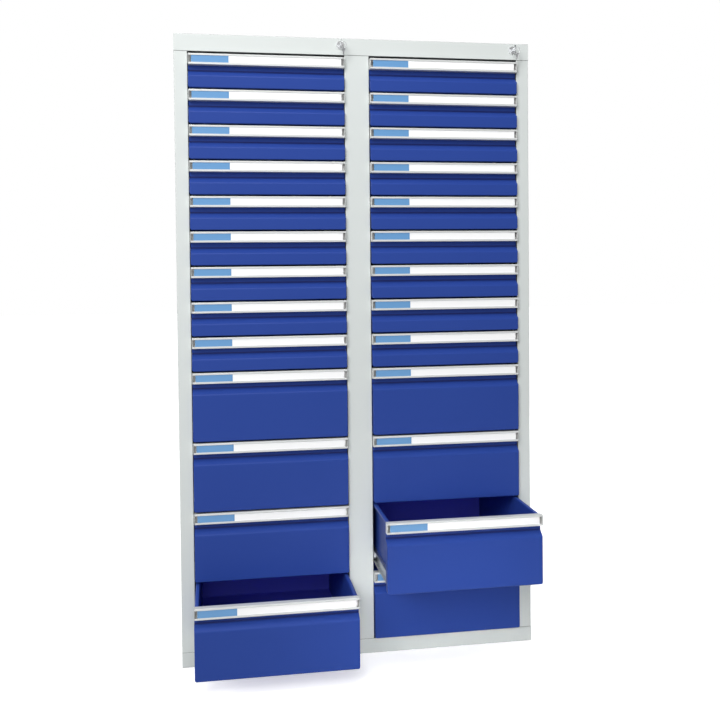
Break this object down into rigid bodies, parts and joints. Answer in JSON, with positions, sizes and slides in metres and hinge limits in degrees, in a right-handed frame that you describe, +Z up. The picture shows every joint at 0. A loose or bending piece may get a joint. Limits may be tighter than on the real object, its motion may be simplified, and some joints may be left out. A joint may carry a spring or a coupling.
{
  "type": "parts bin cabinet",
  "caption": "Tall steel cabinet with two columns of pull-out parts drawers, aluminium label grips, roller slides and a central lock for each column.",
  "frame": {"origin": "middle of the housing's footprint, on the floor, under the base channel", "axes": "+Z up, the drawers open towards -Y, +X to the right seen from the front"},
  "size_m": [1.04, 0.809, 1.8],
  "materials": {
    "housing_paint": "satin light grey powder coat",
    "drawer_paint": "satin blue powder coat",
    "grip_aluminium": "natural anodised extrusion",
    "zinc_steel": "bright zinc plated",
    "lock_chrome": "polished nickel chrome"
  },
  "bodies": {
    "cabinet": {"carcass": "housing_paint", "centre_partition": "housing_paint", "back_panel": "housing_paint", "fixed_runners": "zinc_steel"},
    "unit_left_01": {"drawer_left_01": "drawer_paint", "grip_left_01": "grip_aluminium"},
    "unit_left_02": {"drawer_left_02": "drawer_paint", "grip_left_02": "grip_aluminium"},
    "unit_left_03": {"drawer_left_03": "drawer_paint", "grip_left_03": "grip_aluminium"},
    "unit_left_04": {"drawer_left_04": "drawer_paint", "grip_left_04": "grip_aluminium"},
    "unit_left_05": {"drawer_left_05": "drawer_paint", "grip_left_05": "grip_aluminium"},
    "unit_left_06": {"drawer_left_06": "drawer_paint", "grip_left_06": "grip_aluminium"},
    "unit_left_07": {"drawer_left_07": "drawer_paint", "grip_left_07": "grip_aluminium"},
    "unit_left_08": {"drawer_left_08": "drawer_paint", "grip_left_08": "grip_aluminium"},
    "unit_left_09": {"drawer_left_09": "drawer_paint", "grip_left_09": "grip_aluminium"},
    "unit_left_10": {"drawer_left_10": "drawer_paint", "grip_left_10": "grip_aluminium"},
    "unit_left_11": {"drawer_left_11": "drawer_paint", "grip_left_11": "grip_aluminium"},
    "unit_left_12": {"drawer_left_12": "drawer_paint", "grip_left_12": "grip_aluminium"},
    "unit_left_13": {"drawer_left_13": "drawer_paint", "grip_left_13": "grip_aluminium"},
    "unit_right_01": {"drawer_right_01": "drawer_paint", "grip_right_01": "grip_aluminium"},
    "unit_right_02": {"drawer_right_02": "drawer_paint", "grip_right_02": "grip_aluminium"},
    "unit_right_03": {"drawer_right_03": "drawer_paint", "grip_right_03": "grip_aluminium"},
    "unit_right_04": {"drawer_right_04": "drawer_paint", "grip_right_04": "grip_aluminium"},
    "unit_right_05": {"drawer_right_05": "drawer_paint", "grip_right_05": "grip_aluminium"},
    "unit_right_06": {"drawer_right_06": "drawer_paint", "grip_right_06": "grip_aluminium"},
    "unit_right_07": {"drawer_right_07": "drawer_paint", "grip_right_07": "grip_aluminium"},
    "unit_right_08": {"drawer_right_08": "drawer_paint", "grip_right_08": "grip_aluminium"},
    "unit_right_09": {"drawer_right_09": "drawer_paint", "grip_right_09": "grip_aluminium"},
    "unit_right_10": {"drawer_right_10": "drawer_paint", "grip_right_10": "grip_aluminium"},
    "unit_right_11": {"drawer_right_11": "drawer_paint", "grip_right_11": "grip_aluminium"},
    "unit_right_12": {"drawer_right_12": "drawer_paint", "grip_right_12": "grip_aluminium"},
    "unit_right_13": {"drawer_right_13": "drawer_paint", "grip_right_13": "grip_aluminium"},
    "lock_left": {"lock_left": "lock_chrome"},
    "bar_left": {"lock_bar_left": "zinc_steel"},
    "lock_right": {"lock_right": "lock_chrome"},
    "bar_right": {"lock_bar_right": "zinc_steel"}
  },
  "joints": [
    {"name": "slide_left_01", "type": "slide", "parent": "cabinet", "child": "unit_left_01", "axis": [0, -1, 0], "range_m": [0, 0.42]},
    {"name": "slide_left_02", "type": "slide", "parent": "cabinet", "child": "unit_left_02", "axis": [0, -1, 0], "range_m": [0, 0.42]},
    {"name": "slide_left_03", "type": "slide", "parent": "cabinet", "child": "unit_left_03", "axis": [0, -1, 0], "range_m": [0, 0.42]},
    {"name": "slide_left_04", "type": "slide", "parent": "cabinet", "child": "unit_left_04", "axis": [0, -1, 0], "range_m": [0, 0.42]},
    {"name": "slide_left_05", "type": "slide", "parent": "cabinet", "child": "unit_left_05", "axis": [0, -1, 0], "range_m": [0, 0.42]},
    {"name": "slide_left_06", "type": "slide", "parent": "cabinet", "child": "unit_left_06", "axis": [0, -1, 0], "range_m": [0, 0.42]},
    {"name": "slide_left_07", "type": "slide", "parent": "cabinet", "child": "unit_left_07", "axis": [0, -1, 0], "range_m": [0, 0.42]},
    {"name": "slide_left_08", "type": "slide", "parent": "cabinet", "child": "unit_left_08", "axis": [0, -1, 0], "range_m": [0, 0.42]},
    {"name": "slide_left_09", "type": "slide", "parent": "cabinet", "child": "unit_left_09", "axis": [0, -1, 0], "range_m": [0, 0.42]},
    {"name": "slide_left_10", "type": "slide", "parent": "cabinet", "child": "unit_left_10", "axis": [0, -1, 0], "range_m": [0, 0.42]},
    {"name": "slide_left_11", "type": "slide", "parent": "cabinet", "child": "unit_left_11", "axis": [0, -1, 0], "range_m": [0, 0.42]},
    {"name": "slide_left_12", "type": "slide", "parent": "cabinet", "child": "unit_left_12", "axis": [0, -1, 0], "range_m": [0, 0.42]},
    {"name": "slide_left_13", "type": "slide", "parent": "cabinet", "child": "unit_left_13", "axis": [0, -1, 0], "range_m": [-0.187, 0.233]},
    {"name": "slide_right_01", "type": "slide", "parent": "cabinet", "child": "unit_right_01", "axis": [0, -1, 0], "range_m": [0, 0.42]},
    {"name": "slide_right_02", "type": "slide", "parent": "cabinet", "child": "unit_right_02", "axis": [0, -1, 0], "range_m": [0, 0.42]},
    {"name": "slide_right_03", "type": "slide", "parent": "cabinet", "child": "unit_right_03", "axis": [0, -1, 0], "range_m": [0, 0.42]},
    {"name": "slide_right_04", "type": "slide", "parent": "cabinet", "child": "unit_right_04", "axis": [0, -1, 0], "range_m": [0, 0.42]},
    {"name": "slide_right_05", "type": "slide", "parent": "cabinet", "child": "unit_right_05", "axis": [0, -1, 0], "range_m": [0, 0.42]},
    {"name": "slide_right_06", "type": "slide", "parent": "cabinet", "child": "unit_right_06", "axis": [0, -1, 0], "range_m": [0, 0.42]},
    {"name": "slide_right_07", "type": "slide", "parent": "cabinet", "child": "unit_right_07", "axis": [0, -1, 0], "range_m": [0, 0.42]},
    {"name": "slide_right_08", "type": "slide", "parent": "cabinet", "child": "unit_right_08", "axis": [0, -1, 0], "range_m": [0, 0.42]},
    {"name": "slide_right_09", "type": "slide", "parent": "cabinet", "child": "unit_right_09", "axis": [0, -1, 0], "range_m": [0, 0.42]},
    {"name": "slide_right_10", "type": "slide", "parent": "cabinet", "child": "unit_right_10", "axis": [0, -1, 0], "range_m": [0, 0.42]},
    {"name": "slide_right_11", "type": "slide", "parent": "cabinet", "child": "unit_right_11", "axis": [0, -1, 0], "range_m": [0, 0.42]},
    {"name": "slide_right_12", "type": "slide", "parent": "cabinet", "child": "unit_right_12", "axis": [0, -1, 0], "range_m": [-0.195, 0.225]},
    {"name": "slide_right_13", "type": "slide", "parent": "cabinet", "child": "unit_right_13", "axis": [0, -1, 0], "range_m": [0, 0.42]},
    {"name": "turn_lock_left", "type": "hinge", "parent": "cabinet", "child": "lock_left", "pos_m": [-0.0475, -0.3, 1.78], "axis": [0, -1, 0], "range_deg": [0, 90]},
    {"name": "lift_bar_left", "type": "slide", "parent": "cabinet", "child": "bar_left", "axis": [0, 0, 1], "range_m": [0, 0.01413]},
    {"name": "turn_lock_right", "type": "hinge", "parent": "cabinet", "child": "lock_right", "pos_m": [0.4705, -0.3, 1.78], "axis": [0, -1, 0], "range_deg": [0, 90]},
    {"name": "lift_bar_right", "type": "slide", "parent": "cabinet", "child": "bar_right", "axis": [0, 0, 1], "range_m": [0, 0.01413]}
  ],
  "couplings": [
    {"joint": "turn_lock_left", "follows": "lift_bar_left", "rad_per_m": 111.11},
    {"joint": "turn_lock_right", "follows": "lift_bar_right", "rad_per_m": 111.11}
  ]
}
